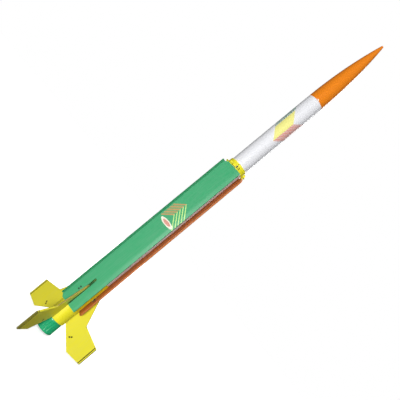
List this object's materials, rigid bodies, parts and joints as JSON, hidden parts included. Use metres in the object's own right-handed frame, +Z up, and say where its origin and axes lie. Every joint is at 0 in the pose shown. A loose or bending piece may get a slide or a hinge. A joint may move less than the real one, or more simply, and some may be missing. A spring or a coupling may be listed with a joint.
{
  "type": "model rocket with folding rotor blades",
  "caption": "Slim paper-tube model rocket with a pointed nose, three hinged rotor blades folded along the tube, three swept fins and a sliding tail pod that takes a standard motor.",
  "frame": {"origin": "on the rocket's long axis, in the plane of the three fin feet that it stands on", "axes": "+Z up the rocket's axis towards the nose tip, +X through the green rotor blade and fin 1; blades and fins 2 and 3 are 120 and 240 degrees round by the right-hand rule"},
  "size_m": [0.1013, 0.1168, 0.575],
  "materials": {
    "white_paper": "smooth white coated paper tube",
    "kraft_paper": "bare brown kraft paper",
    "yellow_paint": "gloss yellow paint on sanded balsa",
    "green_paint": "gloss green paint on sanded balsa",
    "orange_paint": "gloss orange paint on sanded balsa",
    "bare_balsa": "bare balsa",
    "yellow_plastic": "glossy moulded yellow plastic",
    "green_plastic": "glossy moulded green plastic",
    "orange_plastic": "glossy moulded orange plastic",
    "spring_steel": "plain spring steel"
  },
  "bodies": {
    "airframe": {"body_tube": "white_paper", "fin_sleeve": "yellow_plastic", "fin_1": "yellow_paint", "fin_2": "yellow_paint", "fin_3": "yellow_paint", "rotor_hub": "yellow_plastic", "hinge_pin_1": "spring_steel", "hinge_pin_2": "spring_steel", "hinge_pin_3": "spring_steel", "blade_spring_1": "spring_steel", "blade_spring_2": "spring_steel", "blade_spring_3": "spring_steel", "launch_lug_front": "white_paper", "launch_lug_rear": "white_paper", "lug_standoff_front": "bare_balsa", "lug_standoff_rear": "bare_balsa", "bulkhead": "kraft_paper", "pod_stop_ring": "kraft_paper"},
    "blade_1": {"rotor_blade_1": "green_paint", "hinge_leaf_1": "yellow_plastic", "blade_catch_1": "spring_steel"},
    "blade_2": {"rotor_blade_2": "orange_paint", "hinge_leaf_2": "yellow_plastic", "blade_catch_2": "spring_steel"},
    "blade_3": {"rotor_blade_3": "green_paint", "hinge_leaf_3": "yellow_plastic", "blade_catch_3": "spring_steel"},
    "pod": {"tail_cap": "green_plastic", "aft_ring": "kraft_paper", "forward_ring": "kraft_paper", "latch_ring": "green_plastic", "motor_tube": "kraft_paper", "thrust_ring": "kraft_paper"},
    "engine_hook": {"engine_hook": "spring_steel"},
    "nose": {"nose_cone": "orange_plastic", "nose_plug": "orange_plastic"}
  },
  "joints": [
    {"name": "blade_1_hinge", "type": "hinge", "parent": "airframe", "child": "blade_1", "pos_m": [0.0149, 0, 0.3117], "axis": [0, -0.9962, -0.0872], "range_deg": [0, 95], "deforming": ["blade_spring_1"]},
    {"name": "blade_2_hinge", "type": "hinge", "parent": "airframe", "child": "blade_2", "pos_m": [-0.00745, 0.0129, 0.3117], "axis": [0.8627, 0.4981, -0.0872], "range_deg": [0, 95], "deforming": ["blade_spring_2"]},
    {"name": "blade_3_hinge", "type": "hinge", "parent": "airframe", "child": "blade_3", "pos_m": [-0.00745, -0.0129, 0.3117], "axis": [-0.8627, 0.4981, -0.0872], "range_deg": [0, 95], "deforming": ["blade_spring_3"]},
    {"name": "pod_slide", "type": "slide", "parent": "airframe", "child": "pod", "axis": [0, 0, -1], "range_m": [0, 0.008]},
    {"name": "engine_hook_flex", "type": "hinge", "parent": "pod", "child": "engine_hook", "pos_m": [0.00483, 0.00836, 0.0748], "axis": [0.866, -0.5, 0], "range_deg": [0, 0.8], "stiffness_Nm_per_rad": 0.02},
    {"name": "nose_slide", "type": "slide", "parent": "airframe", "child": "nose", "axis": [0, 0, 1], "range_m": [0, 0.0195]}
  ]
}
